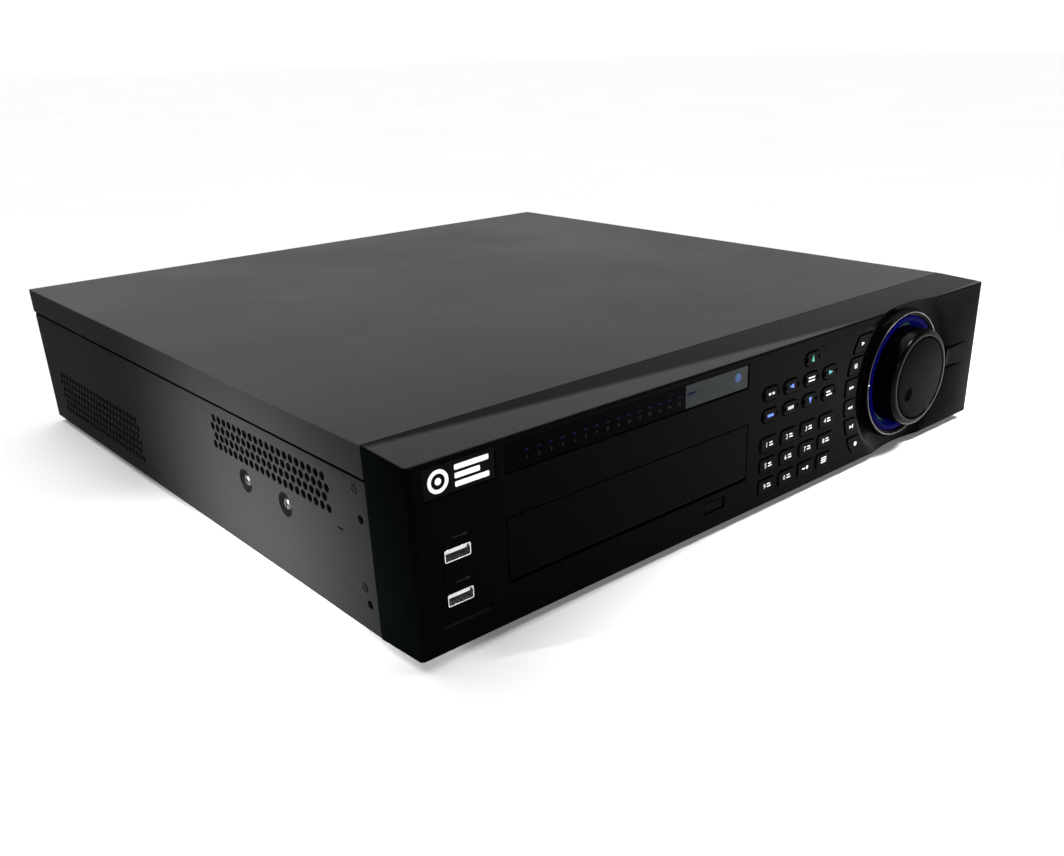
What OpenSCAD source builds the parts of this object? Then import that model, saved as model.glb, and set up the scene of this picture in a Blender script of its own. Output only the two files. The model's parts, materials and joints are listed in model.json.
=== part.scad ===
// Rack-width security video recorder with a jog and shuttle dial.
// Front to -Y, feet on z = 0, origin under the middle of the outline.
// On the front, x is across, z is the height above the underside of the case, and a depth is
// measured inwards from the face of the bezel.

/* [Case] */
// Width over the bezel and the top cover
body_w = 440; // [438:0.5:442]
// Height of the case without its feet
body_h = 89.2; // [89:0.1:90]
// Depth of the sheet-metal case behind the bezel
case_d = 418; // [416:1:430]
// Depth of the bezel in front of the case
bezel_d = 31; // [30:0.5:34]
// Thickness of the steel floor, walls and side panels
steel_t = 1.2; // [1:0.1:1.2]
// Thickness of the top cover
cover_t = 1; // [0.8:0.1:1]
// Height of the side flanges of the top cover
flange_h = 15; // [13:0.5:15]
// Height of the rubber feet
foot_h = 4; // [3:0.5:6]
// Radius of the rubber feet
foot_r = 11; // [9:0.5:13]

/* [Bezel] */
// Thickness of the face of the bezel
face_t = 3; // [2.8:0.1:3.2]
// How far the underside of the bezel rises towards the front
under_rise = 1.6; // [1:0.1:2]
// How far the top of the bezel drops towards the front
top_drop = 1.5; // [1:0.1:2]
// Gap all round a key
key_gap = 0.35; // [0.3:0.05:0.4]
// How far the key tops stand in front of the face
key_proud = 0.7; // [0.5:0.1:1]
// Travel of every key
key_travel = 0.8; // [0.4:0.1:0.8]

/* [Dial] */
// Centre of the dial across the front
dial_x = 135; // [134:0.5:136]
// Height of the centre of the dial
dial_z = 45.5; // [45:0.5:46]
// Radius of the scooped dish
dish_r = 51; // [50:0.5:51]
// Radius of the shuttle ring
shuttle_r = 29; // [28:0.5:29]
// Radius of the jog disc
jog_r = 24.4; // [23:0.1:24.4]
// How far the dial stands in front of the face
dial_proud = 11; // [9:0.5:12]

/* [Disc bay] */
// Width of the opening for the flap
bay_w = 159.2; // [156:0.2:160]
// Height of the opening for the flap
bay_h = 31; // [30:0.5:31]
// Centre of the opening across the front
bay_x = -93.5; // [-94:0.5:-93]
// Height of the lower edge of the opening
bay_z = 21; // [20.5:0.5:21.5]

/* [Back] */
// How far the video sockets stand out behind the case
socket_proud = 10; // [9:0.5:12]
// Pitch of the video sockets
socket_pitch = 17.5; // [17:0.1:17.6]
// Tilt of the power rocker in its off position
rocker_tilt = 12; // [8:1:12]

/* [Hidden] */
half_w = body_w / 2;
overall_d = dial_proud + bezel_d + case_d + socket_proud;
face_y = dial_proud - overall_d / 2;
seam_y = face_y + bezel_d;
rear_y = seam_y + case_d;
base_z = foot_h;
top_z = base_z + body_h;
running_gap = 0.06;      // radial clearance of a shaft in its bore
seam_gap = 0.4;          // gap between the bezel and the metal behind it
side_x = half_w - 0.4;   // outer face of the side panels, just inside the cover's flange
inset = 0.8;             // step of a side panel where the cover's flange laps over it
step_z = body_h - flange_h - 2.3;   // height where the side panels start to step in

// Keys: width, height and corner radius of each kind, and the rows and columns of their centres
control_key = [12.8, 7.2, 3.2];
number_key = [13.2, 7.8, 1.5];
key_columns = [for (i = [0:3]) 3.6 + 17.35 * i];
control_rows = [76, 64.7, 52.8];
number_rows = [for (i = [0:2]) 36.8 - 11.9 * i];
// The up key stands alone above the third column, then two full rows follow
control_places = concat([[key_columns[2], control_rows[0]]],
    [for (row = [1, 2]) for (x = key_columns) [x, control_rows[row]]]);
number_places = [for (z = number_rows) for (x = key_columns) [x, z]];
playback_places = [for (i = [0:5]) 74.7 - 12.1 * i];
playback_h = 9.6;
playback_outer_r = 62.6;
playback_inner_r = dish_r + 1;
key_flange_d = face_t + 0.35;

eject_place = [-38.5, 14.5];
eject_size = [14, 5];
usb_places = [[-198.4, 45.1], [-198.4, 24.9]];
usb_size = [13.2, 5.8];
window_box = [-173, 71.5, 158, 13];      // x, z, width and height of the status-light window
badge_box = [-213, 71.5, 36, 14];        // x, z, width and height of the badge recess
receiver_box = [184, 38, 6.8, 14.4];     // x, z, width and height of the receiver window
receiver_ramp_x = 208;

hinge_d = 2.2;           // depth of the flap's hinge axis behind the face
hinge_r = 1.2;
flap_gap = 0.4;
flap_t = 2.6;
lug_w = 6;

board_d = 10;            // depth of the front of the front board
board_t = 1.6;
switch_d = board_d - 2.4;                        // front of the switches' buttons
plunger_d = switch_d - key_travel - 0.4;         // ends of the keys' plungers
rear_board_z = 8;
rear_board_y = rear_y - 150;

hole_r = 2.1;            // vent holes
hole_pitch = 5.6;
hole_row = 4.85;
dimple_places = [[75.5, 39.4], [115.8, 39.4]];   // behind the seam, height
dimple_r = 6.25;
dimple_depth = 2.4;
bezel_screws = [[10, 67.3], [10, 21.2]];
ear_holes = [[7, 54.3], [7, 13.8]];
ear_hole_r = 2.1;
shank_r = 1.5;

cage_y = seam_y + 104;
cage_d = 152;
drive_size = [101.6, 147, 26.1];
drive_columns = [for (i = [0:3]) -157.5 + 105 * i];
drive_floors = [3.8, 38.4];

fan_centres = [[-95, 45], [-30, 45]];
fan_size = 60;
fan_depth = 25;
fan_bore_r = 28.5;
video_places = concat([for (z = [30, 58]) for (i = [0:7]) [85 + socket_pitch * i, z]], [[67.5, 58]]);
mains_place = [-190, 23];
rocker_place = [-160, 23];
network_places = [[18, 19], [36, 19]];
rear_usb_places = [[54, 14.5], [54, 23]];
audio_places = [[67.5, 20], [67.5, 36]];
terminal_rows = [57.5, 70.5];
foot_places = [for (x = [-185, 185]) for (y = [seam_y + 40, rear_y - 45]) [x, y]];
floor_screws = [for (x = [-105, 0, 105]) for (y = [cage_y + 20, cage_y + cage_d - 20]) [x, y]];
cover_screws = [for (x = [-190, -95, 0, 95, 190]) x];

control_names = [for (i = [1:9]) str("control_key_", i)];
number_names = [for (i = [1:12]) str("number_key_", i)];
playback_names = [for (i = [1:6]) str("playback_key_", i)];

// ---- Shared shapes ----

// Points of an arc round (cx, cy) from angle a to angle b
function arc(cx, cy, r, a, b, n = 6) =
    [for (i = [0:n]) let (t = a + (b - a) * i / n) [cx + r * cos(t), cy + r * sin(t)]];

// Rectangle centred on the origin with round corners
function round_rect(w, h, r) = concat(
    arc(w / 2 - r, h / 2 - r, r, 0, 90), arc(r - w / 2, h / 2 - r, r, 90, 180),
    arc(r - w / 2, r - h / 2, r, 180, 270), arc(w / 2 - r, r - h / 2, r, 270, 360));

// Playback key: flat top and bottom, outer side and inner side on arcs round the dial, cut corners
function arc_side(z, r, grow) = dial_x - sqrt(pow(r + grow, 2) - pow(z - dial_z, 2));
function playback_outline(zc, grow, cut = 0.9, n = 6) =
    let (low = zc - playback_h / 2 - grow, high = zc + playback_h / 2 + grow,
         outer = [for (i = [0:n]) low + cut + (high - low - 2 * cut) * i / n])
    concat([for (z = outer) [arc_side(z, playback_outer_r, grow), z]],
        [[arc_side(high, playback_outer_r, grow) + cut, high],
         [arc_side(high, playback_inner_r, -grow) - cut, high]],
        [for (i = [0:n]) let (z = outer[n - i]) [arc_side(z, playback_inner_r, -grow), z]],
        [[arc_side(low, playback_inner_r, -grow) - cut, low],
         [arc_side(low, playback_outer_r, grow) + cut, low]]);

// Extrudes a flat (x, z) shape from y0 back to y1
module slab(y0, y1) translate([0, y1, 0]) rotate([90, 0, 0]) linear_extrude(y1 - y0) children();

// A flat (x, z) shape on the bezel, from depth d0 to depth d1
module on_face(x, z, d0, d1) translate([x, face_y, base_z + z]) slab(d0, d1) children();

// A block on the bezel, given by its low corner, size and depths
module face_box(x, z, w, h, d0, d1) translate([x, face_y + d0, base_z + z]) cube([w, d1 - d0, h]);

// A round post on the bezel, running inwards
module face_post(x, z, r, d0, d1)
    translate([x, face_y + d0, base_z + z]) rotate([-90, 0, 0]) cylinder(r = r, h = d1 - d0, $fn = 48);

// A turned shape round the dial's axis, drawn as (radius, depth) points
module about_dial()
    translate([dial_x, face_y, base_z + dial_z]) rotate([-90, 0, 0]) rotate_extrude($fn = 96) children();

// A block behind the case seam, given by x, distance behind the seam and height
module case_box(x, y, z, w, d, h) translate([x, seam_y + y, base_z + z]) cube([w, d, h]);

// A round post on the rear panel, running backwards
module rear_post(x, z, r, y0, y1)
    translate([x, rear_y + y0, base_z + z]) rotate([-90, 0, 0]) cylinder(r = r, h = y1 - y0, $fn = 48);

module rear_box(x, z, w, h, y0, y1)
    translate([x - w / 2, rear_y + y0, base_z + z - h / 2]) cube([w, y1 - y0, h]);

// Pan-head screw with a cross recess: the head stands on z = 0 and the shank runs to -z
module pan_screw(head_r, head_h, shank_h) difference() {
    union() {
        rotate_extrude($fn = 48) polygon(concat([[0, 0]], arc(head_r - head_h, 0, head_h, 0, 90, 4),
            [[0, head_h]]));
        translate([0, 0, -shank_h]) cylinder(r = shank_r, h = shank_h + 0.2, $fn = 32);
    }
    for (a = [0, 90]) rotate([0, 0, a]) translate([-head_r * 0.55, -0.3, head_h * 0.35])
        cube([head_r * 1.1, 0.6, head_h]);
}

// ---- Bezel and what sits in it ----

module bezel_form(front_r = 3, edge_r = 1) intersection() {
    translate([-half_w, 0, 0]) rotate([90, 0, 90]) linear_extrude(body_w) polygon(concat(
        [[seam_y, base_z], [seam_y, top_z]],
        arc(face_y + edge_r, top_z - top_drop - edge_r, edge_r, 90, 180),
        arc(face_y + edge_r, base_z + under_rise + edge_r, edge_r, 180, 270)));
    translate([0, 0, base_z - 1]) linear_extrude(body_h + 2) polygon(concat(
        [[half_w, seam_y], [-half_w, seam_y]],
        arc(front_r - half_w, face_y + front_r, front_r, 180, 270),
        arc(half_w - front_r, face_y + front_r, front_r, 270, 360)));
}

// Everything cut out of the dial's dish: cone, floor, raised collar and through hole
dish_profile = [[0, -2], [dish_r, -2], [dish_r, 0], [dish_r - 7.8, 4], [39.2, 4.2], [38.6, 1.2],
    [38.2, 0.8], [36.2, 0.8], [35.2, 1.6], [35.2, 9], [0, 9]];

module bezel() color([0.09, 0.09, 0.1]) difference() {
    union() {
        difference() {
            bezel_form();
            face_box(2.6 - half_w, 4, body_w - 5.2, body_h - 8, face_t, bezel_d + 1);
        }
        intersection() {
            face_post(dial_x, dial_z, dish_r - 3, face_t - 0.5, 7.2);
            face_box(2 - half_w, 3, body_w - 4, body_h - 6, 0, 10);
        }
        for (side = [-1, 1]) face_box(bay_x + side * (bay_w / 2 + lug_w / 2) - lug_w / 2, bay_z - 3,
            lug_w, 10, face_t - 0.5, 6);
        for (p = [[-206, 62], [-206, 8], [-90, 62], [-3, 80], [70, 7], [200, 80], [200, 8]])
            face_post(p[0], p[1], 3, face_t - 0.5, board_d);
        for (side = [-1, 1]) for (p = bezel_screws)
            face_box(side * (half_w - 3) - 1.2, p[1] - 4, 2.4, 8, bezel_d - 12, bezel_d + 17);
    }
    about_dial() polygon(dish_profile);
    for (p = control_places) on_face(p[0], p[1], -1, 5) polygon(round_rect(
        control_key[0] + 2 * key_gap, control_key[1] + 2 * key_gap, control_key[2] + key_gap));
    for (p = number_places) on_face(p[0], p[1], -1, 5) polygon(round_rect(
        number_key[0] + 2 * key_gap, number_key[1] + 2 * key_gap, number_key[2] + key_gap));
    for (z = playback_places) on_face(0, 0, -1, 5) polygon(playback_outline(z, key_gap));
    face_box(badge_box[0], badge_box[1], badge_box[2], badge_box[3], -1, 0.8);
    face_box(window_box[0], window_box[1], window_box[2], window_box[3], -1, 5);
    for (p = usb_places) on_face(p[0], p[1], -1, 5) polygon(round_rect(usb_size[0] + 0.6,
        usb_size[1] + 0.6, 0.8));
    // grip slot under the sockets, with a sloped lower face
    translate([-209, face_y, base_z + 12.4]) rotate([90, 0, 90]) linear_extrude(26.5)
        polygon([[-1, -0.6], [0, 0], [1.5, 1.4], [1.5, 3.6], [-1, 3.6]]);
    face_box(bay_x - bay_w / 2, bay_z, bay_w, bay_h, -1, 7);
    translate([bay_x - bay_w / 2 - 3.4, face_y + hinge_d, base_z + bay_z + flap_gap + hinge_d])
        rotate([0, 90, 0]) cylinder(r = hinge_r + running_gap, h = bay_w + 6.8, $fn = 48);
    face_box(eject_place[0] - 7.7, eject_place[1] - 3.2, 15.4, 6.4, -1, 1.1);
    face_box(eject_place[0] - eject_size[0] / 2 - key_gap, eject_place[1] - eject_size[1] / 2 - key_gap,
        eject_size[0] + 2 * key_gap, eject_size[1] + 2 * key_gap, -1, 5);
    // receiver recess: deep on the left, running out flush on the right
    translate([0, face_y, base_z + receiver_box[1]]) linear_extrude(receiver_box[3]) polygon([
        [receiver_box[0], -1], [receiver_box[0], 2.2], [receiver_box[0] + receiver_box[2] + 0.4, 2.2],
        [receiver_ramp_x, 0], [receiver_ramp_x, -1]]);
    face_box(receiver_box[0] + 0.4, receiver_box[1] + 0.8, receiver_box[2] - 0.4,
        receiver_box[3] - 1.6, -1, 5);
    for (side = [-1, 1]) for (p = bezel_screws)
        translate([side * (half_w - 3), seam_y + p[0], base_z + p[1]]) rotate([0, 90, 0])
            cylinder(r = shank_r + 0.05, h = 6, center = true, $fn = 32);
}

module badge_plate() color([0.75, 0.75, 0.77])
    face_box(badge_box[0] + 0.3, badge_box[1] + 0.3, badge_box[2] - 0.6, badge_box[3] - 0.6, 0.2, 0.8);

// Lens in the window, with a flange behind the face
module led_window() color([0.05, 0.05, 0.09]) union() {
    face_box(window_box[0] + 0.2, window_box[1] + 0.2, window_box[2] - 0.4, window_box[3] - 0.4,
        0.6, face_t + 1);
    face_box(window_box[0] - 1, window_box[1] - 0.8, window_box[2] + 2, window_box[3] + 1.4,
        face_t, face_t + 1);
}

module ir_window() color([0.12, 0.03, 0.05]) union() {
    face_box(receiver_box[0] + 0.6, receiver_box[1] + 1, receiver_box[2] - 0.8,
        receiver_box[3] - 2, 1.7, face_t + 1);
    face_box(receiver_box[0] - 0.6, receiver_box[1] - 0.2, receiver_box[2] + 1.6,
        receiver_box[3] + 0.4, face_t, face_t + 1);
}

module light_ring() color([0.2, 0.2, 0.95]) about_dial()
    polygon([[31.4, 2], [31.9, 1.4], [34.4, 1.4], [35.1, 2], [35.1, 7.4], [37, 7.4], [37, 9.3],
        [31.4, 9.3]]);

module usb_shell(w, h, depth, wall = 0.5) slab(0, depth) difference() {
    polygon(round_rect(w, h, 0.8));
    square([w - 2 * wall, h - 2 * wall], center = true);
}

module front_usb_ports() color([0.78, 0.78, 0.8])
    for (p = usb_places) translate([p[0], face_y + 0.2, base_z + p[1]]) {
        usb_shell(usb_size[0], usb_size[1], 14);
        translate([-usb_size[0] / 2, 14, -usb_size[1] / 2]) cube([usb_size[0], 1.6, usb_size[1]]);
        translate([-5.5, 1.4, 0.4]) cube([11, 12.6, 1.6]);
    }

// ---- Moving pieces on the front ----

// Flap: its lower edge is a round barrel on the hinge axis, with a stub at each end
module bay_door() color([0.09, 0.09, 0.1]) union() {
    translate([bay_x - bay_w / 2 + flap_gap, face_y, base_z + bay_z + flap_gap]) rotate([90, 0, 90])
        linear_extrude(bay_w - 2 * flap_gap) polygon(concat(
            [[flap_t, bay_h - 2 * flap_gap], [0, bay_h - 2 * flap_gap]],
            arc(hinge_d, hinge_d, hinge_d, 180, 440, 16)));
    for (side = [0, 1]) translate([bay_x - bay_w / 2 + side * bay_w, face_y + hinge_d,
        base_z + bay_z + flap_gap + hinge_d]) rotate([0, 90, 0])
            cylinder(r = hinge_r, h = 5.6, center = true, $fn = 48);
}

// A key: cap through the face, wider flange behind it and a plunger towards its switch
module key_body(outline, flange, x, z) union() {
    on_face(0, 0, -key_proud, key_flange_d) polygon(outline);
    on_face(0, 0, key_flange_d, key_flange_d + 1) polygon(flange);
    face_post(x, z, 1.5, key_flange_d + 1, plunger_d);
}

function placed(points, x, z) = [for (p = points) [p[0] + x, p[1] + z]];

module plain_key(place, size)
    key_body(placed(round_rect(size[0], size[1], size[2]), place[0], place[1]),
        placed(round_rect(size[0] + 1.6, size[1] + 1.6, 1.5), place[0], place[1]),
        place[0], place[1]);

module control_key(i) color([0.13, 0.13, 0.14]) plain_key(control_places[i], control_key);

module number_key(i) color([0.13, 0.13, 0.14]) plain_key(number_places[i], number_key);

module playback_key(i) color([0.13, 0.13, 0.14]) let (z = playback_places[i])
    key_body(playback_outline(z, 0), playback_outline(z, 0.6),
        arc_side(z, (playback_outer_r + playback_inner_r) / 2, 0), z);

module eject_key() color([0.13, 0.13, 0.14]) union() {
    face_box(eject_place[0] - eject_size[0] / 2, eject_place[1] - eject_size[1] / 2,
        eject_size[0], eject_size[1], 0.5, key_flange_d);
    face_box(eject_place[0] - eject_size[0] / 2 - 0.8, eject_place[1] - eject_size[1] / 2 - 0.8,
        eject_size[0] + 1.6, eject_size[1] + 1.6, key_flange_d, key_flange_d + 1);
    face_post(eject_place[0], eject_place[1], 1.5, key_flange_d + 1, plunger_d);
}

// Outer ring with a web and a sleeve that runs in the encoder
module shuttle_ring() color([0.1, 0.1, 0.11]) about_dial() polygon(concat(
    [[25, 0.5 - dial_proud]], arc(25.6, 0.6 - dial_proud, 0.6, 180, 270, 3),
    arc(shuttle_r - 2.6, 2.6 - dial_proud, 2.6, 270, 360, 6),
    [[shuttle_r, 4.6], [shuttle_r - 2.4, 4.6], [shuttle_r - 2.4, -2], [6.5, -2], [6.5, 15],
     [3 + running_gap, 15], [3 + running_gap, -4], [25, -4]]));

// Jog disc with its shaft and a finger dimple
module jog_dial() color([0.13, 0.13, 0.14]) difference() {
    about_dial() polygon(concat([[0, -dial_proud]],
        arc(jog_r - 0.9, 0.9 - dial_proud, 0.9, 270, 360, 4),
        [[jog_r, -7], [3, -7], [3, 19], [0, 19]]));
    translate([dial_x - 13, face_y - dial_proud - 5.4, base_z + dial_z - 7.3])
        sphere(r = 7, $fn = 64);
}

module encoder_body() color([0.35, 0.36, 0.38]) difference() {
    union() {
        face_box(dial_x - 17, dial_z - 17, 34, 34, 8, 24);
        face_post(dial_x, dial_z, 9.5, 5.4, 8.5);
    }
    face_post(dial_x, dial_z, 6.5 + running_gap, 5, 20.5);
}

// Circuit board with its switches and lights soldered on
module front_board() color([0.05, 0.3, 0.15]) union() {
    difference() {
        face_box(-213, 6, 426, 76, board_d, board_d + board_t);
        for (p = usb_places) face_box(p[0] - 8, p[1] - 4.4, 16, 8.8, 9, 13);
        face_box(bay_x - bay_w / 2 - 2, bay_z - 2, bay_w + 4, bay_h + 4, 9, 13);
        face_box(dial_x - 18, dial_z - 18, 36, 36, 9, 13);
    }
    for (p = concat(control_places, number_places, [eject_place],
        [for (z = playback_places) [arc_side(z, (playback_outer_r + playback_inner_r) / 2, 0), z]])) {
        face_box(p[0] - 3, p[1] - 2.6, 6, 5.2, switch_d + 0.4, board_d + 0.1);
        face_post(p[0], p[1], 1.6, switch_d, switch_d + 0.6);
    }
    for (i = [0:15]) face_box(window_box[0] + 11.5 + 6.7 * i, 78, 3, 1.6, 9, board_d + 0.1);
    for (a = [0:30:330]) face_box(dial_x + 33 * cos(a) - 1, dial_z + 33 * sin(a) - 1, 2, 2, 9.4,
        board_d + 0.1);
}

// ---- Case ----

// Floor with folded front and rear walls, posts for the main board
module chassis_pan() color([0.32, 0.33, 0.35]) difference() {
    union() {
        case_box(steel_t + seam_gap - half_w, seam_gap, 0, body_w - 2 * (steel_t + seam_gap),
            case_d - seam_gap, steel_t);
        case_box(-214.6, seam_gap, 0, 429.2, steel_t, 86);
        case_box(-217.4, case_d - steel_t, 0, 434.8, steel_t, 86.8);
        for (x = [10, 205]) for (y = [rear_board_y + 10, rear_y - 20])
            translate([x, y, base_z + 0.5]) cylinder(r = 3, h = rear_board_z - 0.5, $fn = 32);
    }
    // cut-outs for the disc writer and the cables
    case_box(-165, -1, 20, 143, 5, 32);
    case_box(10, -1, 70, 40, 5, 10);
    for (p = floor_screws) translate([p[0], p[1], base_z - 1])
        cylinder(r = shank_r + 0.2, h = 4, $fn = 32);
    for (p = video_places) rear_post(p[0], p[1], 5.2, -3, 3);
    for (p = audio_places) rear_post(p[0], p[1], 5.2, -3, 3);
    for (p = fan_centres) {
        rear_post(p[0], p[1], fan_bore_r, -3, 3);
        for (dx = [-25, 25]) for (dz = [-25, 25]) rear_post(p[0] + dx, p[1] + dz, 2.2, -3, 3);
    }
    rear_box(mains_place[0], mains_place[1], 27.6, 20.4, -3, 3);
    rear_box(rocker_place[0], rocker_place[1], 13.6, 19.6, -3, 3);
    for (p = network_places) rear_box(p[0], p[1], 16.4, 13.8, -3, 3);
    for (p = rear_usb_places) rear_box(p[0], p[1], 13.8, 6.4, -3, 3);
    rear_box(17, 40, 15.6, 6.2, -3, 3);
    rear_box(44, 40, 18.4, 10.4, -3, 3);
    for (z = terminal_rows) rear_box(33, z, 51, 9.4, -3, 3);
    for (x = cover_screws) rear_post(x, 82, shank_r + 0.05, -3, 3);
}

// One field of staggered vent holes on a side wall
module vent_field(y0, z0, columns, rows)
    for (row = [0:rows - 1]) for (i = [0:columns - 1 - row % 2])
        translate([0, seam_y + y0 + hole_pitch * (i + (row % 2) / 2), base_z + z0 + hole_row * row])
            rotate([0, 90, 0]) cylinder(r = hole_r, h = 12, center = true, $fn = 24);

// A flat (x, z) shape run along a side panel between two distances behind the case seam
module panel_strip(y0, y1) translate([0, 0, base_z]) slab(seam_y + y0, seam_y + y1) children();

module panel_hole(place, r) translate([side_x, seam_y + place[0], base_z + place[1]])
    rotate([0, 90, 0]) cylinder(r = r, h = 8, center = true, $fn = 64);

// Side panel, drawn on the right and mirrored for the left: the wall steps in under the cover,
// with a flange on the floor and one under the cover
module side_panel() difference() {
    union() {
        panel_strip(seam_gap, case_d) polygon([[side_x, 0], [side_x, step_z],
            [side_x - inset, step_z + 1.5], [side_x - inset, body_h - cover_t],
            [side_x - inset - steel_t, body_h - cover_t], [side_x - inset - steel_t, step_z + 1.5],
            [side_x - steel_t, step_z], [side_x - steel_t, 0]]);
        panel_strip(2, case_d - 2) translate([side_x - steel_t - 8, steel_t]) square([8.2, steel_t]);
        panel_strip(2, case_d - 2) translate([side_x - inset - 10, body_h - cover_t - steel_t])
            square([9, steel_t]);
    }
    translate([side_x, 0, 0]) {
        vent_field(33.3, 50.9, 21, 4);
        vent_field(258, 11.1, 25, 6);
    }
    for (p = dimple_places) panel_hole(p, dimple_r);
    for (p = bezel_screws) panel_hole(p, shank_r + 0.2);
    for (p = ear_holes) panel_hole(p, ear_hole_r);
    // registration slot pressed beside the bezel
    translate([side_x - 3, seam_y + 22.8, base_z + 43.8]) cube([6, 4.4, 0.9]);
}

// Pressed conical seat round a cage screw
module dimple() rotate([0, 90, 0]) rotate_extrude($fn = 64) polygon([
    [dimple_r + 0.4, 0], [dimple_r + 0.4, -steel_t], [dimple_r - 0.6, -steel_t],
    [4.6, -dimple_depth - steel_t], [shank_r + 0.2, -dimple_depth - steel_t],
    [shank_r + 0.2, -dimple_depth], [4.2, -dimple_depth], [dimple_r, 0]]);

module panel_with_dimples() union() {
    side_panel();
    for (p = dimple_places) translate([side_x, seam_y + p[0], base_z + p[1]]) dimple();
}

module right_side_panel() color([0.16, 0.16, 0.17]) panel_with_dimples();

module left_side_panel() color([0.16, 0.16, 0.17]) mirror([1, 0, 0]) panel_with_dimples();

module top_cover() color([0.17, 0.17, 0.18]) difference() {
    union() {
        translate([0, rear_y + cover_t, base_z]) rotate([90, 0, 0])
            linear_extrude(case_d - seam_gap + cover_t) polygon([
                [half_w, body_h - flange_h], [half_w, body_h - 0.3], [half_w - 0.3, body_h],
                [0.3 - half_w, body_h], [-half_w, body_h - 0.3], [-half_w, body_h - flange_h],
                [cover_t - half_w, body_h - flange_h], [cover_t - half_w, body_h - cover_t],
                [half_w - cover_t, body_h - cover_t], [half_w - cover_t, body_h - flange_h]]);
        translate([-half_w + 4, rear_y, base_z + 76.5]) cube([body_w - 8, cover_t, body_h - 77]);
    }
    for (x = cover_screws) rear_post(x, 82, shank_r + 0.2, -1, 3);
}

module rubber_feet() color([0.06, 0.06, 0.06])
    for (p = foot_places) translate([p[0], p[1], 0]) rotate_extrude($fn = 64) polygon([
        [0, 1], [foot_r * 0.45, 1], [foot_r * 0.55, 0], [foot_r - 0.8, 0], [foot_r - 0.3, 0.4],
        [foot_r, foot_h], [0, foot_h]]);

// Cage screws in the dimples, bezel screws, floor screws and cover screws
module case_screws() color([0.7, 0.7, 0.72]) {
    for (side = [-1, 1]) {
        for (p = dimple_places)
            translate([side * (side_x - dimple_depth), seam_y + p[0], base_z + p[1]])
                rotate([0, side * 90, 0]) pan_screw(3.4, 1.9, 4);
        for (p = bezel_screws)
            translate([side * side_x, seam_y + p[0], base_z + p[1]])
                rotate([0, side * 90, 0]) pan_screw(2.4, 0.4, 3.2);
    }
    for (p = floor_screws) translate([p[0], p[1], base_z]) rotate([180, 0, 0]) pan_screw(3, 1.6, 3.6);
    for (x = cover_screws) translate([x, rear_y + cover_t, base_z + 82])
        rotate([-90, 0, 0]) pan_screw(2.8, 1.5, 3.2);
}

// ---- Inside ----

// Slim writer on a carrier plate that closes the bay behind the flap
module disc_writer() color([0.14, 0.14, 0.15]) union() {
    difference() {
        face_box(bay_x - bay_w / 2 + 1, bay_z + 1, bay_w - 2, bay_h - 2, 6.2, 7.4);
        face_box(bay_x - 66, bay_z + 8, 132, 15, 5, 8);
    }
    face_box(bay_x - 64, bay_z + 9.4, 128, 12.4, 7, 134);
    face_box(bay_x - 63.4, bay_z + 10, 126.8, 11.2, 5.6, 7.2);
    face_box(bay_x + 44, bay_z + 13.5, 9, 3.6, 5.2, 6);
    for (side = [-1, 1]) face_box(bay_x + side * 67 - 3.4, bay_z + 4, 6.8, 22, 7, 9);
    for (side = [-1, 1]) face_box(bay_x + side * 66 - 2.4, bay_z + 4, 4.8, 22, 8.6, 60);
}

module drive_cage() color([0.6, 0.62, 0.64]) difference() {
    union() {
        for (z = [2.4, 37]) translate([-216, cage_y, base_z + z]) cube([432, cage_d, steel_t]);
        for (side = [-1, 1]) translate([side * 215.4 - 0.6, cage_y, base_z + 2.4])
            cube([steel_t, cage_d, 64]);
        for (side = [-1, 1]) translate([side * 215.4 - 0.6, seam_y + 62, base_z + 30])
            cube([steel_t, 80, 22]);
        for (x = [-105, 0, 105]) translate([x - 0.6, cage_y, base_z + 2.4]) cube([steel_t, cage_d, 64]);
    }
    for (p = floor_screws) translate([p[0], p[1], base_z + 1]) cylinder(r = shank_r + 0.05, h = 2.7, $fn = 32);
    for (side = [-1, 1]) for (p = dimple_places)
        translate([side * 215.4, seam_y + p[0], base_z + p[1]]) rotate([0, 90, 0])
            cylinder(r = shank_r + 0.05, h = 6, center = true, $fn = 32);
}

// Castings with a raised lid and a recess underneath for their circuit boards
module hard_drives() color([0.55, 0.57, 0.6])
    for (x = drive_columns) for (z = drive_floors)
        translate([x - drive_size[0] / 2 + 1, cage_y + 2.5, base_z + z]) difference() {
            union() {
                cube([drive_size[0] - 2, drive_size[1], drive_size[2] - 2.5]);
                translate([3, 4, 0]) cube([drive_size[0] - 8, drive_size[1] - 26, drive_size[2]]);
            }
            translate([5, 5, -1]) cube([drive_size[0] - 12, drive_size[1] - 4.4, 9]);
        }

module main_board() color([0.05, 0.25, 0.4]) union() {
    translate([2, rear_board_y, base_z + rear_board_z]) cube([211, 146, 1.6]);
    for (p = [[20, 20, 30, 10], [60, 40, 34, 3], [150, 30, 24, 3], [150, 80, 40, 8], [40, 90, 14, 9]])
        translate([p[0], rear_board_y + p[1], base_z + rear_board_z + 1]) cube([p[2], p[2] / 2, p[3]]);
}

module heat_sink() color([0.75, 0.76, 0.78]) translate([95, rear_board_y + 62, base_z + rear_board_z + 1.6])
    union() {
        cube([46, 46, 4]);
        for (i = [0:9]) translate([i * 4.9, 0, 3.5]) cube([1.9, 46, 16]);
    }

module power_supply() color([0.7, 0.71, 0.72]) difference() {
    case_box(-213, 262, 2.5, 82, 128, 40);
    for (x = [-205:8:-140]) case_box(x, 261, 10, 4, 3, 25);
}

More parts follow.
